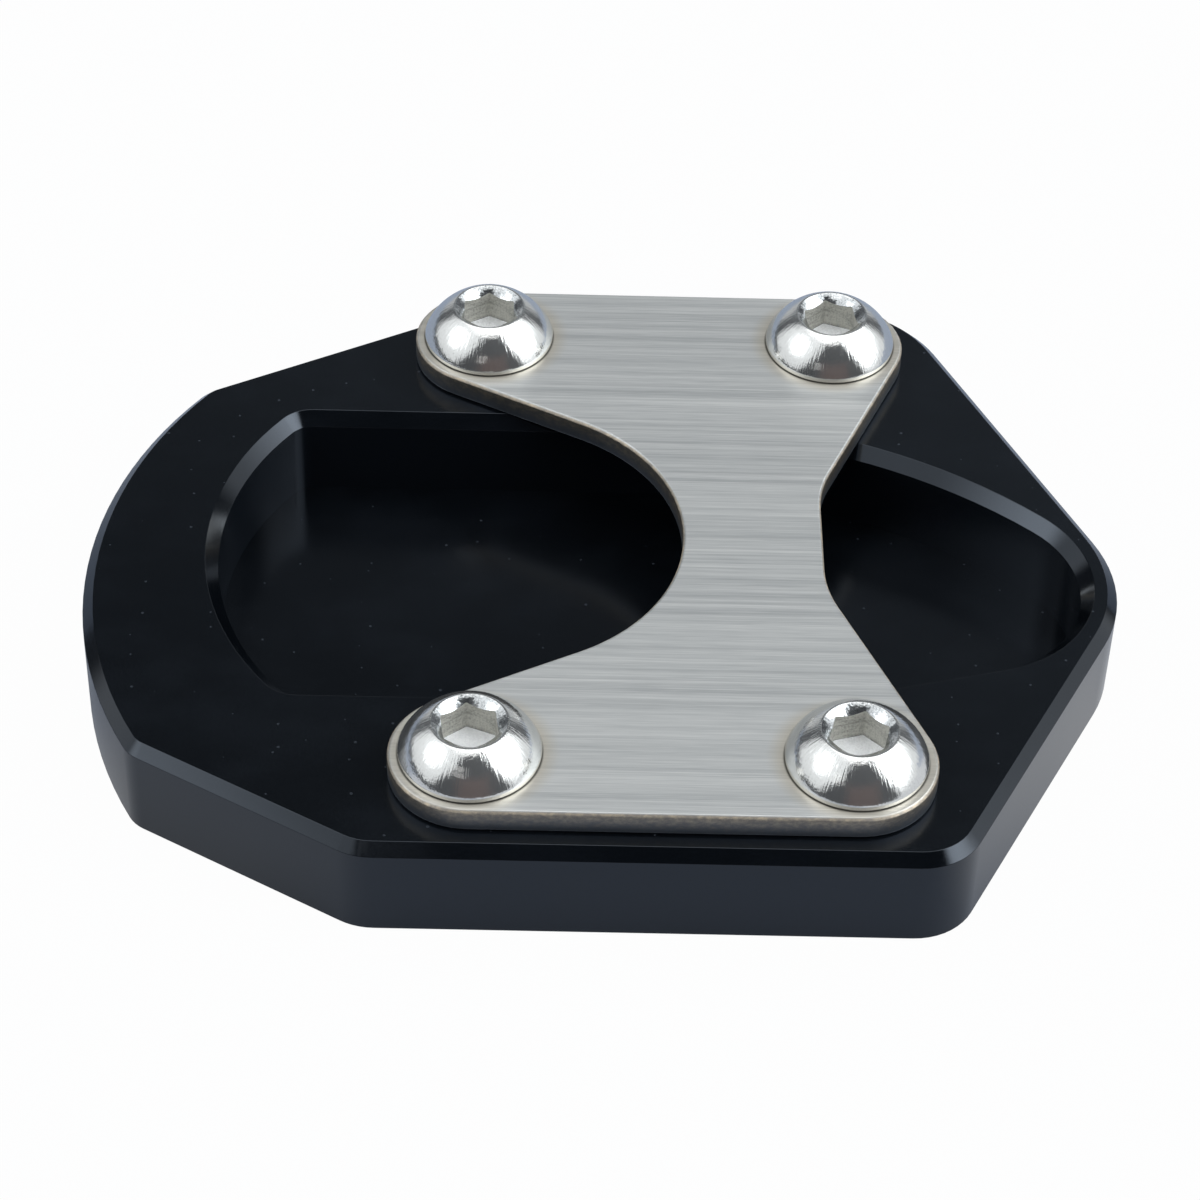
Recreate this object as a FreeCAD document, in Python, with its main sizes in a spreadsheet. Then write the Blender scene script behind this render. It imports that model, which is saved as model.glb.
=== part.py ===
import FreeCAD, Part
import os
from math import acos, atan2, cos, degrees, hypot, radians, sin, sqrt, tan
import Sketcher
from FreeCAD import Vector

# Kickstand foot enlarger, in millimetres.
# A milled aluminium plate takes the foot of a motorcycle's side stand in a pocket. A waisted steel
# plate lies across the pocket, and four button-head screws squeeze the foot between the two.
# The frame: +Z up, the origin in the middle of the four screws on the underside of the base plate,
# +X towards the pointed nose and -Y towards the front edge.

SIZES = {
    # Base plate: a block with a rounded tail on the left and a pointed nose on the right
    "base_width": 64.0,           # from the front wall to the back wall
    "base_thickness": 8.5,
    "front_edge_left": 22.1,      # the front edge's left corner, before it is rounded
    "back_edge_left": 13.2,
    "tail_reach": 44.3,           # the tail's furthest point, from the centre
    "tail_radius": 37.5,
    "tail_shift": 3.1,            # the tail's arc is centred this far in front of the middle
    "tail_front_slant": 30.0,     # angles of the slanted walls to the X axis
    "tail_back_slant": 28.3,
    "nose_reach": 35.35,
    "nose_radius": 13.0,
    "nose_shift": 2.4,            # the nose lies this far in front of the middle
    "nose_front_slant": 62.25,
    "nose_back_slant": 64.5,
    "front_corner_radius": 5.0,
    "back_right_radius": 10.0,
    "back_left_radius": 5.0,
    "tail_corner_radius": 3.0,
    "outer_chamfer": 0.85,
    "edge_break": 0.2,
    # The screw pattern, which both plates share
    "hole_spacing_x": 28.0,
    "base_margin": 8.0,           # from the hole centres to the front and back walls
    # The pocket that the stand's foot sits in
    "pocket_floor": 1.1,          # what is left under the pocket
    "pocket_land": 8.5,           # from the hole centres in to the pocket's straight walls
    "pocket_tail_land": 10.0,     # top land between the tail and the pocket
    "pocket_tail_radius": 23.7,
    "pocket_tail_shift": 0.5,     # the tail wall's arc is centred this far behind the middle
    "pocket_corner_radius": 2.0,
    "pocket_nose_land": 2.8,
    "pocket_nose_radius": 9.25,
    "pocket_back_radius": 43.0,   # the long curve from the back wall round to the nose
    "pocket_front_slant": 15.0,   # the straight run from the front wall to the nose
    "pocket_front_radius": 12.0,
    "rim_chamfer": 1.0,
    # Clamp plate
    "clamp_thickness": 2.0,
    "clamp_margin": 6.0,          # radius of its corners, round the hole centres
    "waist_neck": 3.1,            # left along Y between each corner and the round cut for the stand's leg
    "waist_reach": 1.7,           # how far that cut goes past the middle
    "notch_reach": 12.5,          # the flat of the notch over the nose
    "notch_half_width": 5.66,
    "notch_radius": 10.4,
    "clamp_edge_break": 0.2,
    # Screws: M6 button heads with a hexagon socket
    "shank_radius": 3.0,
    "thread_clearance": 0.05,     # round the shank in the tapped holes
    "clamp_hole_clearance": 0.3,  # round the shank in the clamp plate
    "screw_recess": 0.5,          # from the screw's end up from the underside
    "screw_end_chamfer": 0.6,
    "head_radius": 5.25,
    "head_height": 3.1,
    "head_lip": 0.45,             # the upright rim below the dome
    "head_flat_radius": 2.88,     # the flat that the dome ends in
    "socket_width": 4.0,
    "socket_depth": 2.85,
    "socket_mouth_radius": 2.76,  # the countersink that leaves the scallops
    "socket_mouth_angle": 52.0,   # from the screw's axis
    "hole_countersink": 0.4,      # of the tapped holes, on the underside
    # How far each socket is turned, because a screw stops where it comes tight
    "turn_front_left": 8.0,
    "turn_front_right": -13.5,
    "turn_rear_left": 1.0,
    "turn_rear_right": 10.0,
}

TOUCH = 0.001                     # two places closer than this are the same
START, END, CENTRE = range(1, 4)  # the points of a sketch's line or arc
ORIGIN = (-1, START)              # a sketch's own origin
X_AXIS, Y_AXIS = range(-1, -3, -1)
TURN = 360.0                      # degrees
RIGHT_ANGLE = TURN / 4
SOCKET_SIDES = 6
# From the middle to the screws in front and behind, and the radius of the cut that the stand's leg stands in
HALF_SPACING_Y = "(Sizes.base_width / 2 - Sizes.base_margin)"
WAIST_RADIUS = "(" + HALF_SPACING_Y + " - Sizes.clamp_margin - Sizes.waist_neck)"


def direction(angle):
    """Unit vector at an angle in degrees from +X."""
    return Vector(cos(radians(angle)), sin(radians(angle)), 0)


def angle_of(vector):
    """Angle of a vector from +X, in degrees."""
    return degrees(atan2(vector.y, vector.x))


def meet_lines(point, angle, other_point, other_angle):
    """Where the line through point crosses the line through other_point."""
    along = direction(angle)
    across = direction(other_angle)
    steps = (other_point - point).cross(across).z / along.cross(across).z
    return point + along * steps


def meet_circle(point, angle, centre, radius):
    """Where a line first meets a circle, going its way from point."""
    along = direction(angle)
    offset = point - centre
    half = offset.dot(along)
    root = sqrt(half * half - offset.dot(offset) + radius * radius)
    ahead = min(step for step in (-half - root, -half + root) if step > 0)
    return point + along * ahead


class Outline:
    """A closed sketch outline on one of a body's own planes, run counter-clockwise."""

    def __init__(self, body, name, role, height=None):
        self.sketch = body.newObject("Sketcher::SketchObject", name)
        plane = [item for item in body.Origin.OriginFeatures if item.Role == role][0]
        self.sketch.AttachmentSupport = [(plane, "")]
        self.sketch.MapMode = "FlatFace"
        if height:
            self.sketch.setExpression("AttachmentOffset.Base.z", height)
        self.pieces = []

    def line(self, start, end, smooth=False):
        """A straight piece; smooth joins it to the next one without a corner."""
        piece = self.sketch.addGeometry(Part.LineSegment(start, end), False)
        self.pieces.append((piece, START, END, smooth))
        return piece

    def arc(self, centre, start, end, smooth=False, hollow=False):
        """A round piece; a hollow one curves into the outline and runs clockwise."""
        first, last = (end, start) if hollow else (start, end)
        a, b = angle_of(first - centre), angle_of(last - centre)
        if b < a:
            b += TURN
        circle = Part.Circle(centre, Vector(0, 0, 1), (start - centre).Length)
        piece = self.sketch.addGeometry(Part.ArcOfCircle(circle, radians(a), radians(b)), False)
        enter, leave = (END, START) if hollow else (START, END)
        self.pieces.append((piece, enter, leave, smooth))
        return piece

    def close(self):
        """Join each piece to the next."""
        for here, after in zip(self.pieces, self.pieces[1:] + self.pieces[:1]):
            kind = "Tangent" if here[3] else "Coincident"
            self.sketch.addConstraint(Sketcher.Constraint(kind, here[0], here[2], after[0], after[1]))

    def fix(self, kind, *points):
        """A constraint with no size."""
        self.sketch.addConstraint(Sketcher.Constraint(kind, *points))

    def size(self, name, expression, kind, *points):
        """A constraint that starts as drawn and takes its size from the sheet."""
        if kind == "Radius":
            drawn = self.sketch.Geometry[points[0]].Radius
        elif kind == "Angle":
            line = self.sketch.Geometry[points[0]]
            drawn = radians(angle_of(line.EndPoint - line.StartPoint))
        else:
            step = self.sketch.getPoint(*points[2:]) - self.sketch.getPoint(*points[:2])
            drawn = step.x if kind == "DistanceX" else step.y
        index = self.sketch.addConstraint(Sketcher.Constraint(kind, *points, drawn))
        self.sketch.renameConstraint(index, name)
        self.sketch.setExpression("Constraints." + name, expression)


def make_sheet(doc):
    """The sheet that every size is kept in."""
    sheet = doc.addObject("Spreadsheet::Sheet", "Sizes")
    for row, (alias, value) in enumerate(SIZES.items(), start=1):
        sheet.set(f"A{row}", alias.replace("_", " "))
        sheet.set(f"B{row}", str(value))
        sheet.setAlias(f"B{row}", alias)
    doc.recompute()
    return sheet


def pad(body, outline, name, length):
    """Solid of a sketch, upwards by a length from the sheet."""
    feature = body.newObject("PartDesign::Pad", name)
    feature.Profile = outline.sketch
    feature.setExpression("Length", length)
    body.Document.recompute()
    return feature


def cut(body, outline, name, length=None):
    """Remove a sketch's outline downwards, by a length or right through."""
    before = body.Shape.Volume
    feature = body.newObject("PartDesign::Pocket", name)
    feature.Profile = outline.sketch
    if length:
        feature.setExpression("Length", length)
    else:
        feature.Type = "ThroughAll"
        feature.Midplane = True
    body.Document.recompute()
    if not body.Shape.Volume < before:
        raise RuntimeError(name + " removed nothing")
    return feature


def dress(body, kind, name, edges, size_name, size):
    """Fillet or chamfer on the edges of the body's tip that a test picks."""
    tip = body.Tip
    names = [f"Edge{i}" for i, edge in enumerate(tip.Shape.Edges, start=1) if edges(edge)]
    if not names:
        raise RuntimeError(name + " found no edge")
    feature = body.newObject("PartDesign::" + kind, name)
    feature.Base = (tip, names)
    feature.setExpression(size_name, size)
    body.Document.recompute()
    return feature


def upright_at(*points):
    """Test for an upright edge that stands at one of the points."""
    def test(edge):
        box = edge.BoundBox
        upright = max(box.XLength, box.YLength) < TOUCH < box.ZLength
        return upright and any(hypot(box.Center.x - point.x, box.Center.y - point.y) < TOUCH
                               for point in points)
    return test


def is_level(item, height):
    """Whether an edge or a face lies level at a height."""
    return max(abs(item.BoundBox.ZMin - height), abs(item.BoundBox.ZMax - height)) < TOUCH


def loop_at(body, height, rank):
    """Test for the edges of one loop of the face at a height; the longest loop is rank 0."""
    face = max((item for item in body.Tip.Shape.Faces if is_level(item, height)),
               key=lambda item: item.Area)
    loop = sorted(face.Wires, key=lambda wire: -wire.Length)[rank]
    return lambda edge: any(edge.isSame(other) for other in loop.Edges)


def half_spacing_y(sizes):
    """The number that HALF_SPACING_Y gives."""
    return sizes.base_width / 2 - sizes.base_margin


def hole_centres(sizes):
    """The four hole centres, named by their corner."""
    half_x, half_y = sizes.hole_spacing_x / 2, half_spacing_y(sizes)
    return {
        "front_left": Vector(-half_x, -half_y, 0),
        "front_right": Vector(half_x, -half_y, 0),
        "rear_left": Vector(-half_x, half_y, 0),
        "rear_right": Vector(half_x, half_y, 0),
    }


def place_centre(outline, piece, corner):
    """Hold the centre of a round piece on one corner of the screw pattern."""
    side, across = corner.split("_")
    label = f"{corner}_{piece}"
    point = (piece, CENTRE)
    ends_x = (*point, *ORIGIN) if across == "left" else (*ORIGIN, *point)
    ends_y = (*point, *ORIGIN) if side == "front" else (*ORIGIN, *point)
    outline.size(label + "_x", "Sizes.hole_spacing_x / 2", "DistanceX", *ends_x)
    outline.size(label + "_y", HALF_SPACING_Y, "DistanceY", *ends_y)


def drill_pattern(body, sizes, name, radius, height=None):
    """Four round holes right through, on the screw pattern."""
    outline = Outline(body, name + "_sketch", "XY_Plane", height)
    for corner, centre in hole_centres(sizes).items():
        circle = Part.Circle(centre, Vector(0, 0, 1), sizes.shank_radius)
        piece = outline.sketch.addGeometry(circle, False)
        place_centre(outline, piece, corner)
        outline.size(f"radius_{corner}", radius, "Radius", piece)
    return cut(body, outline, name)


def base_outline(body, sizes):
    """The base plate's wall, with the nose and tail round and the other corners still sharp."""
    front = sizes.base_width / 2
    nose_centre = Vector(sizes.nose_reach - sizes.nose_radius, -sizes.nose_shift, 0)
    nose_start = nose_centre + direction(sizes.nose_front_slant - RIGHT_ANGLE) * sizes.nose_radius
    nose_end = nose_centre + direction(RIGHT_ANGLE - sizes.nose_back_slant) * sizes.nose_radius
    tail_centre = Vector(sizes.tail_radius - sizes.tail_reach, -sizes.tail_shift, 0)
    front_left = Vector(-sizes.front_edge_left, -front, 0)
    back_left = Vector(-sizes.back_edge_left, front, 0)
    front_right = meet_lines(front_left, 0, nose_start, sizes.nose_front_slant)
    back_right = meet_lines(back_left, 0, nose_end, -sizes.nose_back_slant)
    half_turn = TURN / 2
    tail_start = meet_circle(back_left, half_turn + sizes.tail_back_slant, tail_centre, sizes.tail_radius)
    tail_end = meet_circle(front_left, half_turn - sizes.tail_front_slant, tail_centre, sizes.tail_radius)

    outline = Outline(body, "wall_sketch", "XY_Plane")
    front_edge = outline.line(front_left, front_right)
    nose_front = outline.line(front_right, nose_start, smooth=True)
    nose = outline.arc(nose_centre, nose_start, nose_end, smooth=True)
    nose_back = outline.line(nose_end, back_right)
    back_edge = outline.line(back_right, back_left)
    tail_back = outline.line(back_left, tail_start)
    tail = outline.arc(tail_centre, tail_start, tail_end)
    tail_front = outline.line(tail_end, front_left)
    outline.close()
    outline.fix("Horizontal", front_edge)
    outline.fix("Horizontal", back_edge)
    outline.size("front_wall", "Sizes.base_width / 2", "DistanceY", front_edge, START, *ORIGIN)
    outline.size("back_wall", "Sizes.base_width / 2", "DistanceY", *ORIGIN, back_edge, START)
    outline.size("front_left", "Sizes.front_edge_left", "DistanceX", front_edge, START, *ORIGIN)
    outline.size("back_left", "Sizes.back_edge_left", "DistanceX", back_edge, END, *ORIGIN)
    outline.size("nose_front", "Sizes.nose_front_slant", "Angle", nose_front)
    outline.size("nose_back", "180 - Sizes.nose_back_slant", "Angle", nose_back)
    outline.size("tail_back", "Sizes.tail_back_slant - 180", "Angle", tail_back)
    outline.size("tail_front", "-Sizes.tail_front_slant", "Angle", tail_front)
    outline.size("nose_radius", "Sizes.nose_radius", "Radius", nose)
    outline.size("nose_x", "Sizes.nose_reach - Sizes.nose_radius", "DistanceX", *ORIGIN, nose, CENTRE)
    outline.size("nose_y", "Sizes.nose_shift", "DistanceY", nose, CENTRE, *ORIGIN)
    outline.size("tail_radius", "Sizes.tail_radius", "Radius", tail)
    outline.size("tail_x", "Sizes.tail_reach - Sizes.tail_radius", "DistanceX", tail, CENTRE, *ORIGIN)
    outline.size("tail_y", "Sizes.tail_shift", "DistanceY", tail, CENTRE, *ORIGIN)
    corners = {
        "front_corner": [front_left, front_right],
        "back_right": [back_right],
        "back_left": [back_left],
        "tail_corner": [tail_start, tail_end],
    }
    return outline, corners


def pocket_outline(body, sizes):
    """The pocket's wall: a round tail, straight sides and a blunt nose set off to the front."""
    half = half_spacing_y(sizes) - sizes.pocket_land
    tail_radius, nose_radius = sizes.pocket_tail_radius, sizes.pocket_nose_radius
    tail_reach = sizes.tail_reach - sizes.pocket_tail_land
    nose_reach = sizes.nose_reach - sizes.pocket_nose_land
    tail_centre = Vector(tail_radius - tail_reach, sizes.pocket_tail_shift, 0)
    nose_centre = Vector(nose_reach - nose_radius, -sizes.nose_shift, 0)
    slant = sizes.pocket_front_slant
    nose_start = nose_centre + direction(slant - RIGHT_ANGLE) * nose_radius
    # The back curve touches the back wall and runs into the nose, both without a corner
    rise = half - sizes.pocket_back_radius - nose_centre.y
    run = sqrt((sizes.pocket_back_radius - nose_radius) ** 2 - rise ** 2)
    back_centre = Vector(nose_centre.x - run, half - sizes.pocket_back_radius, 0)
    outward = (nose_centre - back_centre).normalize()
    nose_end = nose_centre + outward * nose_radius
    back_start = Vector(back_centre.x, half, 0)
    front_turn = meet_lines(Vector(0, -half, 0), 0, nose_start, slant)
    left = Vector(tail_centre.x, 0, 0)
    tail_start = meet_circle(left + Vector(-tail_radius, half, 0), 0, tail_centre, tail_radius)
    tail_end = meet_circle(left + Vector(-tail_radius, -half, 0), 0, tail_centre, tail_radius)

    outline = Outline(body, "pocket_sketch", "XY_Plane", "Sizes.base_thickness")
    front_wall = outline.line(tail_end, front_turn)
    front_slant = outline.line(front_turn, nose_start, smooth=True)
    nose = outline.arc(nose_centre, nose_start, nose_end, smooth=True)
    back_curve = outline.arc(back_centre, nose_end, back_start, smooth=True)
    back_wall = outline.line(back_start, tail_start)
    tail = outline.arc(tail_centre, tail_start, tail_end)
    outline.close()
    wall = HALF_SPACING_Y + " - Sizes.pocket_land"
    nose_x = "Sizes.nose_reach - Sizes.pocket_nose_land - Sizes.pocket_nose_radius"
    tail_x = "Sizes.tail_reach - Sizes.pocket_tail_land - Sizes.pocket_tail_radius"
    outline.fix("Horizontal", front_wall)
    outline.fix("Horizontal", back_wall)
    outline.size("front_wall", wall, "DistanceY", front_wall, START, *ORIGIN)
    outline.size("back_wall", wall, "DistanceY", *ORIGIN, back_wall, START)
    outline.size("front_slant", "Sizes.pocket_front_slant", "Angle", front_slant)
    outline.size("nose_radius", "Sizes.pocket_nose_radius", "Radius", nose)
    outline.size("nose_x", nose_x, "DistanceX", *ORIGIN, nose, CENTRE)
    outline.size("nose_y", "Sizes.nose_shift", "DistanceY", nose, CENTRE, *ORIGIN)
    outline.size("back_radius", "Sizes.pocket_back_radius", "Radius", back_curve)
    outline.size("tail_radius", "Sizes.pocket_tail_radius", "Radius", tail)
    outline.size("tail_x", tail_x, "DistanceX", tail, CENTRE, *ORIGIN)
    outline.size("tail_y", "Sizes.pocket_tail_shift", "DistanceY", *ORIGIN, tail, CENTRE)
    return outline, [tail_start, tail_end], [front_turn]


def make_base_plate(doc, sizes):
    """Milled plate: outline, pocket, four tapped holes, then its chamfers."""
    body = doc.addObject("PartDesign::Body", "base_plate")
    outline, corners = base_outline(body, sizes)
    pad(body, outline, "block", "Sizes.base_thickness")
    for name, radius in (("front_corner", "front_corner_radius"), ("back_right", "back_right_radius"),
                         ("back_left", "back_left_radius"), ("tail_corner", "tail_corner_radius")):
        dress(body, "Fillet", name + "_round", upright_at(*corners[name]), "Radius", "Sizes." + radius)

    outline, tail_corners, front_corners = pocket_outline(body, sizes)
    cut(body, outline, "pocket", "Sizes.base_thickness - Sizes.pocket_floor")
    dress(body, "Fillet", "pocket_corner_round", upright_at(*tail_corners), "Radius",
          "Sizes.pocket_corner_radius")
    dress(body, "Fillet", "pocket_front_round", upright_at(*front_corners), "Radius",
          "Sizes.pocket_front_radius")
    drill_pattern(body, sizes, "tapped_holes", "Sizes.shank_radius + Sizes.thread_clearance",
                  "Sizes.base_thickness")

    top = sizes.base_thickness
    dress(body, "Chamfer", "rim", loop_at(body, top, 1), "Size", "Sizes.rim_chamfer")
    dress(body, "Chamfer", "shoulder", loop_at(body, top, 0), "Size", "Sizes.outer_chamfer")
    dress(body, "Chamfer", "sole_edge", loop_at(body, 0, 0), "Size", "Sizes.edge_break")
    dress(body, "Chamfer", "hole_mouths",
          lambda edge: is_level(edge, 0) and edge.Closed, "Size", "Sizes.hole_countersink")
    return body


def clamp_outline(body, sizes):
    """The clamp plate: round corners about the screws, a round waist and a flat notch."""
    holes = hole_centres(sizes)
    margin = sizes.clamp_margin
    waist_radius = half_spacing_y(sizes) - margin - sizes.waist_neck
    waist_centre = Vector(sizes.waist_reach - waist_radius, 0, 0)
    notch_front = Vector(sizes.notch_reach, -sizes.notch_half_width, 0)
    notch_back = Vector(sizes.notch_reach, sizes.notch_half_width, 0)
    # Line from the notch's corner that just touches the round corner's outer side
    reach = notch_front - holes["front_right"]
    touch = angle_of(reach) - degrees(acos(margin / reach.Length))
    right_end = holes["front_right"] + direction(touch) * margin
    # Line that touches the round corner on one side and the waist on the other
    reach = waist_centre - holes["front_left"]
    between = degrees(acos((margin + waist_radius) / reach.Length))
    touch = angle_of(reach) + between
    left_start = holes["front_left"] + direction(touch) * margin
    waist_end = waist_centre - direction(touch) * waist_radius

    def behind(point):
        return Vector(point.x, -point.y, 0)

    down = Vector(0, margin, 0)
    outline = Outline(body, "plate_sketch", "XY_Plane", "Sizes.base_thickness")
    outline.line(holes["front_left"] - down, holes["front_right"] - down, smooth=True)
    front_right = outline.arc(holes["front_right"], holes["front_right"] - down, right_end, smooth=True)
    outline.line(right_end, notch_front)
    notch = outline.line(notch_front, notch_back)
    outline.line(notch_back, behind(right_end), smooth=True)
    rear_right = outline.arc(holes["rear_right"], behind(right_end), holes["rear_right"] + down, smooth=True)
    outline.line(holes["rear_right"] + down, holes["rear_left"] + down, smooth=True)
    rear_left = outline.arc(holes["rear_left"], holes["rear_left"] + down, behind(left_start), smooth=True)
    outline.line(behind(left_start), behind(waist_end), smooth=True)
    waist = outline.arc(waist_centre, behind(waist_end), waist_end, smooth=True, hollow=True)
    outline.line(waist_end, left_start, smooth=True)
    front_left = outline.arc(holes["front_left"], left_start, holes["front_left"] - down, smooth=True)
    outline.close()
    for corner, piece in (("front_left", front_left), ("front_right", front_right),
                          ("rear_left", rear_left), ("rear_right", rear_right)):
        place_centre(outline, piece, corner)
        outline.size(f"radius_{corner}", "Sizes.clamp_margin", "Radius", piece)
    outline.fix("PointOnObject", waist, CENTRE, X_AXIS)
    outline.size("waist_radius", WAIST_RADIUS, "Radius", waist)
    outline.size("waist_x", WAIST_RADIUS + " - Sizes.waist_reach", "DistanceX", waist, CENTRE, *ORIGIN)
    outline.fix("Vertical", notch)
    outline.size("notch_x", "Sizes.notch_reach", "DistanceX", *ORIGIN, notch, START)
    outline.size("notch_front", "Sizes.notch_half_width", "DistanceY", notch, START, *ORIGIN)
    outline.size("notch_back", "Sizes.notch_half_width", "DistanceY", *ORIGIN, notch, END)
    return outline, [notch_front, notch_back]


def make_clamp_plate(doc, sizes):
    """Sheet steel plate on top of the base, with clearance holes and broken edges."""
    body = doc.addObject("PartDesign::Body", "clamp_plate")
    outline, notch_corners = clamp_outline(body, sizes)
    pad(body, outline, "sheet", "Sizes.clamp_thickness")
    dress(body, "Fillet", "notch_round", upright_at(*notch_corners), "Radius", "Sizes.notch_radius")
    drill_pattern(body, sizes, "clearance_holes", "Sizes.shank_radius + Sizes.clamp_hole_clearance",
                  "Sizes.base_thickness + Sizes.clamp_thickness")
    low = sizes.base_thickness
    high = low + sizes.clamp_thickness
    upper, lower = loop_at(body, high, 0), loop_at(body, low, 0)
    dress(body, "Chamfer", "sheet_edges", lambda edge: upper(edge) or lower(edge), "Size",
          "Sizes.clamp_edge_break")
    return body


def screw_profile(body, sizes):
    """Half section of the screw on the XZ plane: the head's seat is at z = 0."""
    length = sizes.base_thickness + sizes.clamp_thickness - sizes.screw_recess
    shank, bevel = sizes.shank_radius, sizes.screw_end_chamfer
    head, lip = sizes.head_radius, sizes.head_lip
    flat, height = sizes.head_flat_radius, sizes.head_height
    lip_top, dome_top = Vector(head, lip, 0), Vector(flat, height, 0)
    # The dome is a zone of a ball whose middle lies on the axis, as far from the lip as from the flat
    ball_middle = (flat ** 2 - head ** 2 + height ** 2 - lip ** 2) / (2 * (height - lip))
    end = Vector(shank - bevel, -length, 0)

    outline = Outline(body, "profile_sketch", "XZ_Plane")
    end_face = outline.line(Vector(0, -length, 0), end)
    end_bevel = outline.line(end, Vector(shank, bevel - length, 0))
    thread = outline.line(Vector(shank, bevel - length, 0), Vector(shank, 0, 0))
    seat = outline.line(Vector(shank, 0, 0), Vector(head, 0, 0))
    rim = outline.line(Vector(head, 0, 0), lip_top)
    dome = outline.arc(Vector(0, ball_middle, 0), lip_top, dome_top)
    top = outline.line(dome_top, Vector(0, height, 0))
    axis = outline.line(Vector(0, height, 0), Vector(0, -length, 0))
    outline.close()
    for level in (end_face, seat, top):
        outline.fix("Horizontal", level)
    for upright in (thread, rim):
        outline.fix("Vertical", upright)
    outline.fix("PointOnObject", axis, START, Y_AXIS)
    outline.fix("PointOnObject", axis, END, Y_AXIS)
    outline.fix("PointOnObject", seat, START, X_AXIS)
    outline.fix("PointOnObject", dome, CENTRE, Y_AXIS)
    outline.size("length", "Sizes.base_thickness + Sizes.clamp_thickness - Sizes.screw_recess",
                 "DistanceY", end_face, START, *ORIGIN)
    outline.size("shank", "Sizes.shank_radius", "DistanceX", *ORIGIN, thread, START)
    outline.size("bevel_x", "Sizes.screw_end_chamfer", "DistanceX", end_bevel, START, end_bevel, END)
    outline.size("bevel_y", "Sizes.screw_end_chamfer", "DistanceY", end_bevel, START, end_bevel, END)
    outline.size("head", "Sizes.head_radius", "DistanceX", *ORIGIN, rim, START)
    outline.size("lip", "Sizes.head_lip", "DistanceY", *ORIGIN, rim, END)
    outline.size("flat", "Sizes.head_flat_radius", "DistanceX", *ORIGIN, top, START)
    outline.size("height", "Sizes.head_height", "DistanceY", *ORIGIN, top, START)
    return outline


def cut_socket(body, sizes):
    """Hexagon socket and the countersink at its mouth."""
    hexagon = Outline(body, "hexagon_sketch", "XY_Plane", "Sizes.head_height")
    step = TURN / SOCKET_SIDES
    corner_radius = sizes.socket_width / 2 / cos(radians(step / 2))
    # A corner lies on +Y before the screw is turned
    corners = [direction(RIGHT_ANGLE + step * side) * corner_radius for side in range(SOCKET_SIDES)]
    guide = hexagon.sketch.addGeometry(Part.Circle(Vector(0, 0, 0), Vector(0, 0, 1), corner_radius), True)
    sides = [hexagon.line(start, end) for start, end in zip(corners, corners[1:] + corners[:1])]
    hexagon.close()
    hexagon.fix("Coincident", guide, CENTRE, *ORIGIN)
    for side in sides:
        hexagon.fix("PointOnObject", side, START, guide)
    for side in sides[1:]:
        hexagon.fix("Equal", sides[0], side)
    hexagon.fix("PointOnObject", sides[0], START, Y_AXIS)
    hexagon.size("across_corners", "Sizes.socket_width / 2 / cos(30 deg)", "Radius", guide)
    cut(body, hexagon, "socket", "Sizes.socket_depth")

    before = body.Shape.Volume
    mouth, height = sizes.socket_mouth_radius, sizes.head_height
    depth = mouth / tan(radians(sizes.socket_mouth_angle))
    cone = Outline(body, "mouth_sketch", "XZ_Plane")
    axis = cone.line(Vector(0, height, 0), Vector(0, height - depth, 0))
    slope = cone.line(Vector(0, height - depth, 0), Vector(mouth, height, 0))
    lid = cone.line(Vector(mouth, height, 0), Vector(0, height, 0))
    cone.close()
    cone.fix("Horizontal", lid)
    cone.fix("PointOnObject", axis, START, Y_AXIS)
    cone.fix("PointOnObject", axis, END, Y_AXIS)
    cone.size("height", "Sizes.head_height", "DistanceY", *ORIGIN, lid, START)
    cone.size("mouth", "Sizes.socket_mouth_radius", "DistanceX", *ORIGIN, lid, START)
    cone.size("slope", "90 - Sizes.socket_mouth_angle", "Angle", slope)
    groove = body.newObject("PartDesign::Groove", "mouth")
    groove.Profile = cone.sketch
    groove.ReferenceAxis = (cone.sketch, ["V_Axis"])
    body.Document.recompute()
    if not body.Shape.Volume < before:
        raise RuntimeError("the socket's mouth removed nothing")


def make_screw(doc, sizes, corner):
    """One button-head screw, seated on the clamp plate in its corner of the pattern."""
    body = doc.addObject("PartDesign::Body", "screw_" + corner)
    outline = screw_profile(body, sizes)
    solid = body.newObject("PartDesign::Revolution", "turned")
    solid.Profile = outline.sketch
    solid.ReferenceAxis = (outline.sketch, ["V_Axis"])
    doc.recompute()
    cut_socket(body, sizes)
    side, across = corner.split("_")
    sign_x = "" if across == "right" else "-"
    sign_y = "" if side == "rear" else "-"
    body.setExpression("Placement.Base.x", sign_x + "Sizes.hole_spacing_x / 2")
    body.setExpression("Placement.Base.y", sign_y + HALF_SPACING_Y)
    body.setExpression("Placement.Base.z", "Sizes.base_thickness + Sizes.clamp_thickness")
    body.setExpression("Placement.Rotation.Angle", "Sizes.turn_" + corner)
    doc.recompute()
    return body


def check_document(doc, bodies):
    """Stop before anything is written if an object failed or a shape is unsound."""
    for item in doc.Objects:
        if "Invalid" in item.State or "Error" in item.State:
            raise RuntimeError(f"{item.Name} failed: {item.State}")
        if item.TypeId == "Sketcher::SketchObject" and item.solve() != 0:
            raise RuntimeError(f"{item.Name} does not solve")
    for body in bodies:
        if body.Shape.isNull() or not body.Shape.isValid() or len(body.Shape.Solids) != 1:
            raise RuntimeError(f"{body.Label} is not one sound solid")


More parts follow.
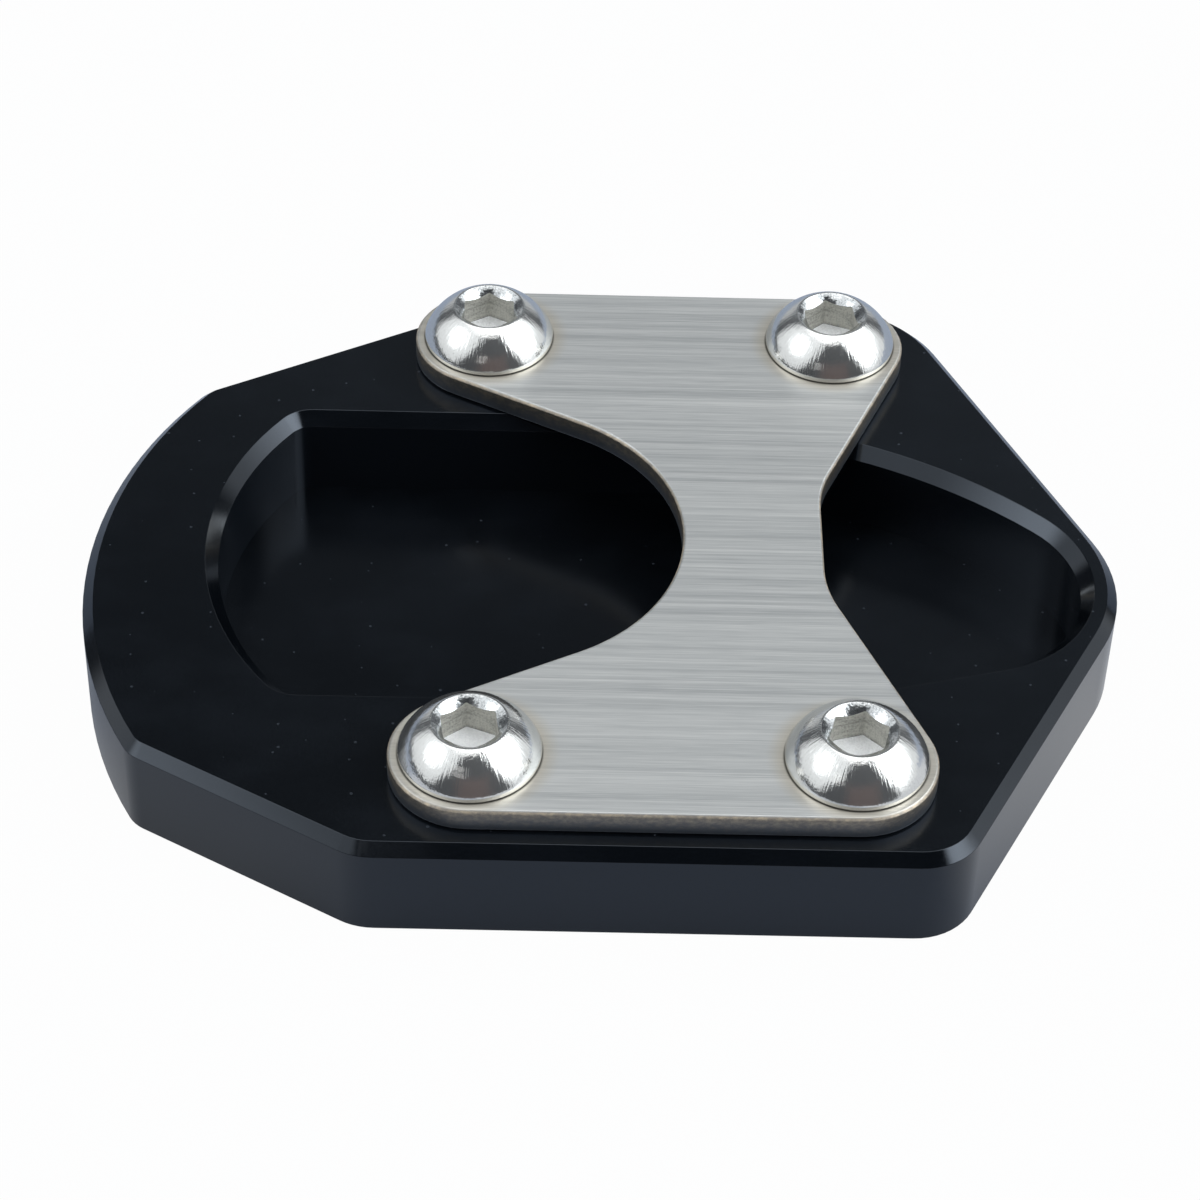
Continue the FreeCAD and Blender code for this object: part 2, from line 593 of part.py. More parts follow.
def main():
    doc = FreeCAD.newDocument("kickstand_foot_enlarger")
    sizes = make_sheet(doc)
    bodies = [make_base_plate(doc, sizes), make_clamp_plate(doc, sizes)]
    bodies += [make_screw(doc, sizes, corner) for corner in hole_centres(sizes)]
    doc.recompute()
    check_document(doc, bodies)
    os.makedirs("parts", exist_ok=True)
    for body in bodies:
        body.Shape.exportStep(f"parts/{body.Label}.step")
        box = body.Shape.BoundBox
        print(f"{body.Label}: volume {body.Shape.Volume:.1f}, x {box.XMin:.2f} to {box.XMax:.2f}, "
              f"y {box.YMin:.2f} to {box.YMax:.2f}, z {box.ZMin:.2f} to {box.ZMax:.2f}")


main()
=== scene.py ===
"""Looks of a kickstand foot enlarger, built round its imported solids.

The two plates are finer copies of the solids, with their sharp edges softened as machining leaves them. The
four button-head screws are modelled here, with lips, domes and scalloped hexagon sockets. Every length in a
class is in millimetres unless its comment says metres, and Blender's own unit is the metre.
"""
import logging
import math
from collections.abc import Sequence
from dataclasses import dataclass, field
from enum import Enum, IntEnum

import bmesh
import bpy
from mathutils import Euler, Matrix, Vector


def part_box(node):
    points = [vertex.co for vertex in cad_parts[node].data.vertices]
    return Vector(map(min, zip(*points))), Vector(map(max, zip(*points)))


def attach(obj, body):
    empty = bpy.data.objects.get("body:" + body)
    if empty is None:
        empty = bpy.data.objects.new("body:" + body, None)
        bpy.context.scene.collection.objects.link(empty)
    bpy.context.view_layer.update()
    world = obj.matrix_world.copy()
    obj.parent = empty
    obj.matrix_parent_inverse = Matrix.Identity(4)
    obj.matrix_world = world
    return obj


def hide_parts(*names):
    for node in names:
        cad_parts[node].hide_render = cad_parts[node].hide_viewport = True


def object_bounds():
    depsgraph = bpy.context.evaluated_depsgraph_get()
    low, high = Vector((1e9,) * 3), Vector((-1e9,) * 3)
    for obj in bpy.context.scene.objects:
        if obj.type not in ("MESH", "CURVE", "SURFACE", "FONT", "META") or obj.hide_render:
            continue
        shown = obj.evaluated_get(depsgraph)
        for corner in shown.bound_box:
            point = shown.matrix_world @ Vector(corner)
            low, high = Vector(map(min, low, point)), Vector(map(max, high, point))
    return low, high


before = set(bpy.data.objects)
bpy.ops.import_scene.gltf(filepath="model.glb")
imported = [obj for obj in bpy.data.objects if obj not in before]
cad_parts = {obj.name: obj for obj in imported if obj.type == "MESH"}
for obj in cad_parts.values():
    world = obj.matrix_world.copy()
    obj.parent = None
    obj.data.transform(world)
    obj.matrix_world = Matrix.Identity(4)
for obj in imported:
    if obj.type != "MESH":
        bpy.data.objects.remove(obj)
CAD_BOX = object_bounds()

LOG = logging.getLogger("foot_enlarger")
MM = 0.001
PER_METRE = 1000.0
PHOTO_PIXELS = 1200
SENSOR = 36.0                          # width of the camera's sensor
WHITE = (1.0, 1.0, 1.0, 1.0)
MEAN = 0.5                             # what a random pattern gives on average
ACROSS_BRUSHING = "across_brushing"    # UV map whose U runs across the clamp plate's hairlines
OWN_PLACE = "own_place"                # where each point of a screw lies about its axis
SMOOTH = {"interpolation_type": "SMOOTHSTEP"}    # makes a Map Range node ease in and out
COLOURS = {"data_type": "RGBA"}                  # makes a Mix node blend two colours

Tree = bpy.types.NodeTree
Node = bpy.types.Node
Socket = bpy.types.NodeSocket
Feed = Node | Socket | float | Sequence[float]
Range = tuple[float, float]
Size = tuple[float, float, float]


class Slot(Enum):
    """The record's material slots."""

    BASE = "anodised_base"
    PLATE = "brushed_plate"
    SCREWS = "polished_screws"


class Corner(Enum):
    """The screws' places: the ending of each CAD node's name, and the turn of its socket in degrees."""

    FRONT_LEFT = ("front_left", 8.0)
    FRONT_RIGHT = ("front_right", -13.5)
    REAR_LEFT = ("rear_left", 1.0)
    REAR_RIGHT = ("rear_right", 10.0)

    @property
    def node(self) -> str:
        """Name of the CAD node."""
        return "screw_" + self.value[0]

    @property
    def turn(self) -> float:
        """Turn of the socket in radians."""
        return math.radians(self.value[1])


class Finish(IntEnum):
    """Places of the finishes in a screw's list of materials."""

    OUTSIDE = 0
    MOUTH = 1
    WALLS = 2
    FLOOR = 3


def linear(code: str) -> tuple[float, float, float, float]:
    """Turn an sRGB hex colour into linear values.

    Args:
        code: Six hex digits, with or without a leading mark.
    Returns:
        Red, green, blue and an alpha of 1.
    """
    digits = code.lstrip("#")
    values = [int(digits[i:i + 2], 16) / 255 for i in (0, 2, 4)]
    r, g, b = (v / 12.92 if v <= 0.04045 else ((v + 0.055) / 1.055) ** 2.4 for v in values)
    return r, g, b, 1.0


def connect(tree: Tree, node: Node, inputs: dict[str, Feed] | Sequence[Feed]) -> None:
    """Set a node's inputs, or link them to what feeds them.

    Args:
        tree: Node tree that holds the node.
        node: Node whose inputs are set.
        inputs: What each input gets: a value, a socket, or a node, of which the first output in use counts.
            They stand under the inputs' names, or in the order of the inputs that the settings leave in use.
    """
    if not isinstance(inputs, dict):
        in_use = [place for place, socket in enumerate(node.inputs) if socket.enabled]
        inputs = dict(zip(in_use, inputs))
    for key, value in inputs.items():
        if isinstance(value, Node):
            value = next(socket for socket in value.outputs if socket.enabled)
        if isinstance(value, Socket):
            tree.links.new(value, node.inputs[key])
        else:
            node.inputs[key].default_value = value


def add_node(tree: Tree, kind: str, inputs: dict[str, Feed] | Sequence[Feed] = (), **settings) -> Node:
    """Add a shader node with its settings, values and links.

    Args:
        tree: Node tree of a material or the world.
        kind: The node's type without its ShaderNode start, such as Bump.
        inputs: What its inputs get, as connect takes it.
        settings: The node's own properties.
    Returns:
        The new node.
    """
    node = tree.nodes.new("ShaderNode" + kind)
    for name, value in settings.items():
        setattr(node, name, value)
    connect(tree, node, inputs)
    return node


def vary(tree: Tree, level: Feed, pattern: Feed, swing: float) -> Node:
    """Let a level rise and fall with a random pattern.

    Args:
        tree: Node tree.
        level: What is varied.
        pattern: Pattern from 0 to 1, MEAN on average.
        swing: Difference in level from one end of the pattern to the other.
    Returns:
        Node of the varied level.
    """
    centred = add_node(tree, "Math", (pattern, MEAN), operation="SUBTRACT")
    return add_node(tree, "Math", (centred, swing, level), operation="MULTIPLY_ADD")


def patches(tree: Tree, place: Feed, size: Size, detail: float = 2.0, roughness: float = 0.6) -> Node:
    """Scatter random patches of a given size.

    Args:
        tree: Node tree.
        place: Place in millimetres.
        size: Length of a patch along each axis, in millimetres.
        detail: Number of finer layers.
        roughness: Weight of the finer layers.
    Returns:
        Node of the pattern, from 0 to 1.
    """
    stretched = add_node(tree, "VectorMath", (place, [1 / s for s in size]), operation="MULTIPLY")
    return add_node(tree, "TexNoise", {"Vector": stretched, "Scale": 1.0, "Detail": detail,
                                       "Roughness": roughness})


def place_in_mm(tree: Tree) -> Node:
    """Place on the object in millimetres."""
    place = add_node(tree, "TexCoord").outputs["Object"]
    return add_node(tree, "VectorMath", (place, PER_METRE), operation="SCALE")


def own_place_in_mm(tree: Tree) -> Node:
    """Place about a screw's own axis in millimetres."""
    place = add_node(tree, "Attribute", attribute_name=OWN_PLACE).outputs["Vector"]
    return add_node(tree, "VectorMath", (place, PER_METRE), operation="SCALE")


def new_material(name: str) -> tuple[bpy.types.Material, Tree, Node]:
    """Start a node material.

    Args:
        name: Name of the real material.
    Returns:
        The material, its node tree and its main shader.
    """
    material = bpy.data.materials.new(name)
    material.use_nodes = True
    tree = material.node_tree
    return material, tree, tree.nodes["Principled BSDF"]


@dataclass(frozen=True)
class AnodisedAluminium:
    """Milled aluminium, satin black anodised: nearly black, with a glassy oxide skin over fine tool marks."""

    colour: str = "05070a"
    faded: str = "0a0d11"
    walls: str = "0f1318"              # a lighter tone that the upright faces get
    dust: str = "34393f"
    gloss: float = 0.55                # of the skin, against plain glass at 0.5
    skin: str = "e4f0ff"               # the skin's faint blue
    level_from: Range = (0.85, 0.97)   # a normal's upward part, where a chamfer gives way to a level face
    upright_from: Range = (0.2, 0.5)   # and where a wall gives way to a chamfer
    level_roughness: float = 0.19
    wall_roughness: float = 0.16
    chamfer_roughness: float = 0.1     # cut last, with a fresh tool
    cloud: Size = (9.0, 6.0, 6.0)      # patches in which the dye took less well
    cloud_from: Range = (0.35, 0.75)
    cloud_roughness: float = 0.05
    grain: float = 0.16                # drawn coarser than the real etch so that it shows
    grain_height: float = 0.0008
    grain_fading: float = 2.0
    grain_roughness: float = 0.1
    mark_pitch: float = 0.45           # between the cutter's passes up and down the walls
    mark_length: float = 40.0
    mark_share: float = 0.6            # height of the cutter's marks, against the grain's
    dust_spacing: float = 2.8
    dust_size: float = 0.12            # radius of the largest specks
    dust_spread: float = 0.2           # how far the others fall short, until none is left
    dust_edge: float = 0.03
    dust_cover: float = 0.7

    def make(self) -> bpy.types.Material:
        """Build the material.

        Returns:
            The material.
        """
        material, tree, shader = new_material("anodised_aluminium")
        place = place_in_mm(tree)
        normal = add_node(tree, "TexCoord").outputs["Normal"]
        facing = add_node(tree, "SeparateXYZ", [normal]).outputs["Z"]
        level = add_node(tree, "MapRange", (facing, *self.level_from), **SMOOTH)
        upright = add_node(tree, "MapRange", (facing, *self.upright_from, 1.0, 0.0), **SMOOTH)
        cloud = patches(tree, place, self.cloud, detail=3.0)
        grain = patches(tree, place, (self.grain, self.grain, self.grain))

        clouded = add_node(tree, "MapRange", (cloud, *self.cloud_from), **SMOOTH)
        faded = vary(tree, clouded, grain, self.grain_fading)
        colour = add_node(tree, "Mix", (faded, linear(self.colour), linear(self.faded)), **COLOURS)
        # Upright faces are given the lighter tone
        colour = add_node(tree, "Mix", (upright, colour, linear(self.walls)), **COLOURS)
        dusty = add_node(tree, "Math", (self.specks(tree, place), level), operation="MULTIPLY")
        colour = add_node(tree, "Mix", (dusty, colour, linear(self.dust)), **COLOURS)

        chamfer = self.chamfer_roughness
        satin = add_node(tree, "Math", (level, self.level_roughness - chamfer, chamfer),
                         operation="MULTIPLY_ADD")
        satin = add_node(tree, "Math", (upright, self.wall_roughness - chamfer, satin),
                         operation="MULTIPLY_ADD")
        satin = vary(tree, satin, grain, self.grain_roughness)
        satin = vary(tree, satin, cloud, self.cloud_roughness)

        mark = (self.mark_length, self.mark_length, self.mark_pitch)
        passes = patches(tree, place, mark, detail=1.0, roughness=0.5)
        relief = add_node(tree, "Math", (passes, upright), operation="MULTIPLY")
        relief = add_node(tree, "Math", (relief, self.mark_share), operation="MULTIPLY")
        relief = add_node(tree, "Math", (relief, grain), operation="ADD")
        bump = add_node(tree, "Bump", {"Height": relief, "Distance": self.grain_height * MM, "Strength": 1.0})
        connect(tree, shader, {"Base Color": colour, "Roughness": satin, "Normal": bump,
                               "Specular IOR Level": self.gloss, "Specular Tint": linear(self.skin)})
        return material

    def specks(self, tree: Tree, place: Feed) -> Node:
        """Scatter specks of dust of mixed sizes, with gaps between them.

        Args:
            tree: Node tree.
            place: Place in millimetres.
        Returns:
            Node of the dust's share in each place of a level surface.
        """
        cells = add_node(tree, "TexVoronoi", {"Vector": place, "Scale": 1 / self.dust_spacing},
                         voronoi_dimensions="2D")
        away = add_node(tree, "Math", (cells.outputs["Distance"], self.dust_spacing), operation="MULTIPLY")
        chance = add_node(tree, "SeparateXYZ", [cells.outputs["Color"]]).outputs["X"]
        reach = add_node(tree, "Math", (chance, self.dust_spread, self.dust_size - self.dust_spread),
                         operation="MULTIPLY_ADD")
        outside = add_node(tree, "Math", (away, reach), operation="SUBTRACT")
        return add_node(tree, "MapRange", (outside, -self.dust_edge, self.dust_edge, self.dust_cover, 0.0),
                        **SMOOTH)


@dataclass(frozen=True)
class BrushedSteel:
    """Stainless sheet brushed along X by an abrasive belt.

    The brushing leaves straight hairlines, and they smear what the sheet mirrors across them.
    """

    light_line: str = "d8d9d7"
    dark_line: str = "b1b4b4"
    # Painted reflection: warm glow painted on the sheet round each polished screw head
    head_glow_colour: str = "bdb095"
    # Painted shadow: thin dark line painted on the sheet at each screw head's edge
    seat_shadow: str = "35332f"
    cut_light: str = "cabda8"                # the sheared side, bright where the blade burnished it
    cut_dark: str = "a39c92"
    shaded_torn: str = "878d95"                     # and its lower, torn part, painted darker as painted shade towards the underside
    roughness: float = 0.46
    band_roughness: float = 0.12
    side_roughness: float = 0.58
    smear: float = 0.6                       # how much more the hairlines blur reflections across than along
    hairline: Size = (60.0, 0.12, 0.12)      # length and width of a scratch
    band: Size = (90.0, 0.6, 0.6)
    stray: Size = (22.0, 0.1, 0.1)           # the few deeper scratches
    short: Size = (3.5, 0.13, 0.13)          # where the belt's grains broke
    line_contrast: float = 1.3
    short_contrast: float = 0.8
    band_contrast: float = 1.35
    stray_from: Range = (0.64, 0.72)
    stray_light: float = 0.5
    depth: float = 0.0015
    brushed_above: Range = (0.12, 0.02)      # depths below the top between which the side gives way to it
    head_radius: float = 5.25                # of the screws
    # Reach and strength of the painted reflection round each head
    head_glow_reach: float = 1.5                  # past a screw's head
    head_glow_share: float = 0.45
    # Where the painted shadow line lies, out from a head's edge, and how dark it is
    seat_shadow_from: Range = (-0.02, 0.16)        # out from a head's edge
    seat_shadow_share: float = 0.85
    shear: Size = (0.6, 0.6, 0.35)           # patches left by the blade
    shear_from: Range = (0.35, 0.7)
    shaded_torn_below: Range = (0.2, 1.9)           # heights above the sheet's underside
    shaded_torn_swing: float = 0.5

    def make(self, top: float, thickness: float, screws: list[Vector]) -> bpy.types.Material:
        """Build the material.

        Args:
            top: Height of the sheet's top, in millimetres.
            thickness: The sheet's thickness.
            screws: Places of the screws, round which a warm glow is painted as a painted reflection of the
                polished heads, with a painted shadow line at each head's edge.
        Returns:
            The material.
        """
        material, tree, shader = new_material("brushed_stainless_steel")
        place = place_in_mm(tree)
        lines = patches(tree, place, self.hairline, detail=3.0, roughness=0.75)
        bands = patches(tree, place, self.band)
        strays = patches(tree, place, self.stray, detail=1.0, roughness=0.5)
        shorts = patches(tree, place, self.short)
        share = vary(tree, MEAN, bands, self.band_contrast)
        share = vary(tree, share, lines, self.line_contrast)
        share = vary(tree, share, shorts, self.short_contrast)
        bright = add_node(tree, "MapRange", (strays, *self.stray_from, 0.0, self.stray_light), **SMOOTH)
        share = add_node(tree, "Math", (share, bright), operation="ADD")
        colour = add_node(tree, "Mix", (share, linear(self.dark_line), linear(self.light_line)), **COLOURS)
        # Painted reflection and painted shadow round each screw's head
        for screw in screws:
            colour = self.seat(tree, place, screw, colour)

        height = add_node(tree, "SeparateXYZ", [place]).outputs["Z"]
        low, high = (top - depth for depth in self.brushed_above)
        on_top = add_node(tree, "MapRange", (height, low, high), **SMOOTH)
        side = self.side(tree, place, height, top - thickness)
        colour = add_node(tree, "Mix", (on_top, side, colour), **COLOURS)
        smoothest = self.roughness - self.band_roughness / 2
        rough = add_node(tree, "Math", (bands, self.band_roughness, smoothest), operation="MULTIPLY_ADD")
        beside = add_node(tree, "Math", (1.0, on_top), operation="SUBTRACT")
        rough = add_node(tree, "Math", (beside, self.side_roughness - self.roughness, rough),
                         operation="MULTIPLY_ADD")
        bump = add_node(tree, "Bump", {"Height": lines, "Distance": self.depth * MM, "Strength": 1.0})
        across = add_node(tree, "Tangent", direction_type="UV_MAP", uv_map=ACROSS_BRUSHING)
        connect(tree, shader, {"Base Color": colour, "Roughness": rough, "Normal": bump, "Metallic": 1.0,
                               "Anisotropic": self.smear, "Tangent": across})
        return material

    def seat(self, tree: Tree, place: Feed, screw: Vector, colour: Feed) -> Node:
        """Paint a warm glow on the sheet round one screw as a painted reflection of its polished head, and a
        thin painted shadow line at the head's edge.

        Args:
            tree: Node tree.
            place: Place in millimetres.
            screw: Place of the screw, in millimetres.
            colour: Colour of the sheet without them.
        Returns:
            Node of the colour with them.
        """
        away = add_node(tree, "VectorMath", (place, screw), operation="DISTANCE")
        edge = self.head_radius
        # Painted reflection: a warm glow that fades out past the head's edge
        head_glow = add_node(tree, "MapRange", (away, edge, edge + self.head_glow_reach, self.head_glow_share, 0.0),
                        **SMOOTH)
        colour = add_node(tree, "Mix", (head_glow, colour, linear(self.head_glow_colour)), **COLOURS)
        # Painted shadow: a thin dark line just outside the head's edge
        inner, outer = (edge + out for out in self.seat_shadow_from)
        seat_shadow = add_node(tree, "MapRange", (away, inner, outer, self.seat_shadow_share, 0.0), **SMOOTH)
        return add_node(tree, "Mix", (seat_shadow, colour, linear(self.seat_shadow)), **COLOURS)

    def side(self, tree: Tree, place: Feed, height: Feed, bottom: float) -> Node:
        """Colour the sheared side, burnished above and torn below, where it is painted darker as painted
        shade towards the underside.

        Args:
            tree: Node tree.
            place: Place in millimetres.
            height: Its height, in millimetres.
            bottom: Height of the sheet's underside.
        Returns:
            Node of the side's colour.
        """
        sheared = patches(tree, place, self.shear, detail=3.0, roughness=0.7)
        share = add_node(tree, "MapRange", (sheared, *self.shear_from), **SMOOTH)
        burnished = add_node(tree, "Mix", (share, linear(self.cut_dark), linear(self.cut_light)), **COLOURS)
        # Painted shade: the side darkens towards the underside, over its torn part
        ragged = vary(tree, height, sheared, self.shaded_torn_swing)
        low, high = (bottom + up for up in self.shaded_torn_below)
        whole = add_node(tree, "MapRange", (ragged, low, high), **SMOOTH)
        return add_node(tree, "Mix", (whole, linear(self.shaded_torn), burnished), **COLOURS)


@dataclass(frozen=True)
class PolishedSteel:
    """Plated and barrel-polished screw: a bright mirror with slight ripples, and drag marks down the dome."""

    colour: str = "e0e0dd"
    soiled: str = "8f8a83"
    roughness: float = 0.05            # of the cleanest spots
    haze: float = 0.08                 # share of the light that fine scratches scatter every way
    ripple: float = 0.5
    ripple_height: float = 0.008
    fleck: float = 0.25                # size of the tumbling marks
    fleck_height: float = 0.005
    drag_width: float = 0.16
    drag_length: float = 1.6
    drag_radius: float = 4.0           # where a drag mark has its width
    drag_height: float = 0.016
    dust: float = 0.12
    dust_from: Range = (0.55, 0.75)
    dust_cover: float = 0.35
    dust_roughness: float = 0.1

    def make(self) -> bpy.types.Material:
        """Build the material.

        Returns:
            The material.
        """
        material, tree, shader = new_material("polished_plated_steel")
        own = own_place_in_mm(tree)
        dust = patches(tree, own, (self.dust, self.dust, self.dust), roughness=0.7)
        cover = add_node(tree, "MapRange", (dust, *self.dust_from, 0.0, self.dust_cover), **SMOOTH)
        colour = add_node(tree, "Mix", (cover, linear(self.colour), linear(self.soiled)), **COLOURS)
        rough = add_node(tree, "Math", (dust, self.dust_roughness, self.roughness), operation="MULTIPLY_ADD")
        ripple = patches(tree, own, (self.ripple, self.ripple, self.ripple), detail=3.0)
        flecks = patches(tree, own, (self.fleck, self.fleck, self.fleck))
        relief = add_node(tree, "Math", (ripple, self.ripple_height), operation="MULTIPLY")
        relief = add_node(tree, "Math", (flecks, self.fleck_height, relief), operation="MULTIPLY_ADD")
        relief = add_node(tree, "Math", (self.drag_marks(tree, own), self.drag_height, relief),
                          operation="MULTIPLY_ADD")
        bump = add_node(tree, "Bump", {"Height": relief, "Distance": MM, "Strength": 1.0})
        connect(tree, shader, {"Base Color": colour, "Roughness": rough, "Normal": bump,
                               "Metallic": 1.0 - self.haze})
        return material

    def drag_marks(self, tree: Tree, own: Feed) -> Node:
        """Draw random marks out from the socket to the lip, alike all the way round.

        Args:
            tree: Node tree.
            own: Place about the screw's axis, in millimetres.
        Returns:
            Node of the marks' pattern, from 0 to 1.
        """
        level = add_node(tree, "VectorMath", (own, (1, 1, 0)), operation="MULTIPLY")
        away = add_node(tree, "VectorMath", [level], operation="LENGTH")
        out = add_node(tree, "VectorMath", [level], operation="NORMALIZE")
        round_it = add_node(tree, "VectorMath", (out, self.drag_radius / self.drag_width),
                            operation="SCALE")
        x, y, _ = add_node(tree, "SeparateXYZ", [round_it]).outputs
        outwards = add_node(tree, "Math", (away, self.drag_length), operation="DIVIDE")
        drawn = add_node(tree, "CombineXYZ", (x, y, outwards))
        return patches(tree, drawn, (1.0, 1.0, 1.0))


@dataclass(frozen=True)
class PunchedSteel:
    """Inside of a cold-punched socket under thin plating: frosted, with drag bands one below another."""

    name: str = "punched_socket"
    colour: str = "c8c7bf"
    shade: str = "979690"
    roughness: float = 0.5
    haze: float = 0.45                 # share of the light that the frosting scatters every way
    band: Size = (3.0, 3.0, 0.5)
    relief: float = 0.005
    frost: float = 0.15                # size of the frosting's grains
    frost_relief: float = 0.002
    frost_roughness: float = 0.16
    frost_contrast: float = 0.8
    shade_from: Range = (0.3, 0.75)

    def make(self) -> bpy.types.Material:
        """Build the material.

        Returns:
            The material.
        """
        material, tree, shader = new_material(self.name)
        own = own_place_in_mm(tree)
        bands = patches(tree, own, self.band, detail=3.0)
        frost = patches(tree, own, (self.frost, self.frost, self.frost))
        mixed = vary(tree, bands, frost, self.frost_contrast)
        share = add_node(tree, "MapRange", (mixed, *self.shade_from), **SMOOTH)
        colour = add_node(tree, "Mix", (share, linear(self.colour), linear(self.shade)), **COLOURS)
        smoothest = self.roughness - self.frost_roughness / 2
        rough = add_node(tree, "Math", (frost, self.frost_roughness, smoothest), operation="MULTIPLY_ADD")
        relief = add_node(tree, "Math", (frost, self.frost_relief), operation="MULTIPLY")
        relief = add_node(tree, "Math", (bands, self.relief, relief), operation="MULTIPLY_ADD")
        bump = add_node(tree, "Bump", {"Height": relief, "Distance": MM, "Strength": 1.0})
        connect(tree, shader, {"Base Color": colour, "Roughness": rough, "Normal": bump,
                               "Metallic": 1.0 - self.haze})
        return material


@dataclass(frozen=True)
class StudioFloor:
    """Matt pale table: white to the eye, with the object's soft shadow kept.

    It works from above only. An eye below it sees through it, and the light from there reaches what rests on
    it, so that the underside shows.
    """

    colour: str = "8b95a6"
    shade: str = "8690a1"
    roughness: float = 0.9
    mottle: float = 60.0
    seen_white: float = 0.98           # share of plain white that the camera sees
    # The same for what metal and glass mirror, by where the table lies about the object: painted light, a
    # pool of light painted on the table beside the object where the lamps hang, dimmer in front and behind
    behind_white: float = 0.08
    front_white: float = 0.20
    left_white: float = 0.41
    right_white: float = 0.56
    left_from: Range = (-34.0, -16.0)
    right_from: Range = (16.0, 34.0)
    front_from: Range = (-16.0, 2.0)
    front_skew: float = -0.2           # the front part's edge runs aslant
    behind_from: Range = (15.0, 45.0)

    def make(self, gap: float) -> bpy.types.Material:
        """Build the material.

        Args:
            gap: Distance in metres within which something counts as resting on the table.
        Returns:
            The material.
        """
        material, tree, shader = new_material("matt_table")
        place = place_in_mm(tree)
        mottle = patches(tree, place, (self.mottle, self.mottle, self.mottle), roughness=0.5)
        tone = add_node(tree, "Mix", (mottle, linear(self.colour), linear(self.shade)), **COLOURS)
        connect(tree, shader, {"Base Color": tone, "Roughness": self.roughness})

        path = add_node(tree, "LightPath").outputs
        seen = add_node(tree, "Math", (path["Is Camera Ray"], self.seen_white), operation="MULTIPLY")
        mirrored = add_node(tree, "Math", (path["Is Glossy Ray"], path["Is Transmission Ray"]),
                            operation="MAXIMUM")
        share = add_node(tree, "Math", (mirrored, self.mirrored_white(tree, place), seen),
                         operation="MULTIPLY_ADD")
        plain = add_node(tree, "Emission", (WHITE, 1.0))
        mix = add_node(tree, "MixShader", (share, shader, plain))
        resting = add_node(tree, "Math", (path["Ray Length"], gap), operation="LESS_THAN")
        below = add_node(tree, "NewGeometry").outputs["Backfacing"]
        unseen = add_node(tree, "Math", (below, resting), operation="MAXIMUM")
        one_way = add_node(tree, "MixShader", (unseen, mix, add_node(tree, "BsdfTransparent")))
        connect(tree, tree.nodes["Material Output"], {"Surface": one_way})
        return material

    def mirrored_white(self, tree: Tree, place: Feed) -> Node:
        """Say how white metal and glass mirror each place of the table: painted light, brighter beside the
        object where the lamps hang.

        Args:
            tree: Node tree.
            place: Place in millimetres.
        Returns:
            Node of the share of plain white.
        """
        x, y, _ = add_node(tree, "SeparateXYZ", [place]).outputs
        # Painted light: brighter to the left and right of the object, less in front, least behind
        left = add_node(tree, "MapRange", (x, *self.left_from, self.left_white, self.front_white), **SMOOTH)
        right = add_node(tree, "MapRange", (x, *self.right_from, 0.0, self.right_white), **SMOOTH)
        beside = add_node(tree, "Math", (left, right), operation="MAXIMUM")
        aslant = add_node(tree, "Math", (x, self.front_skew, y), operation="MULTIPLY_ADD")
        in_front = add_node(tree, "MapRange", (aslant, *self.front_from, 1.0, 0.0), **SMOOTH)
        behind = add_node(tree, "MapRange", (y, *self.behind_from, self.behind_white, 0.0), **SMOOTH)
        more = add_node(tree, "Math", (beside, behind), operation="SUBTRACT")
        return add_node(tree, "Math", (in_front, more, behind), operation="MULTIPLY_ADD")


def select_only(piece: bpy.types.Object) -> None:
    """Make one object the only selected one, and the active one.

    Args:
        piece: The object.
    """
    bpy.ops.object.select_all(action="DESELECT")
    piece.select_set(True)
    bpy.context.view_layer.objects.active = piece


def finish_piece(piece: bpy.types.Object, slot: Slot, *nodes: str) -> None:
    """Let a piece ride with the body and stand for CAD nodes.

    Args:
        piece: The finished piece.
        slot: The record's slot for its finish; not used.
        nodes: The CAD nodes that it stands for.
    """
    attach(piece, "root")
    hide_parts(*nodes)
    LOG.info("%s: %d faces", piece.name, len(piece.data.polygons))


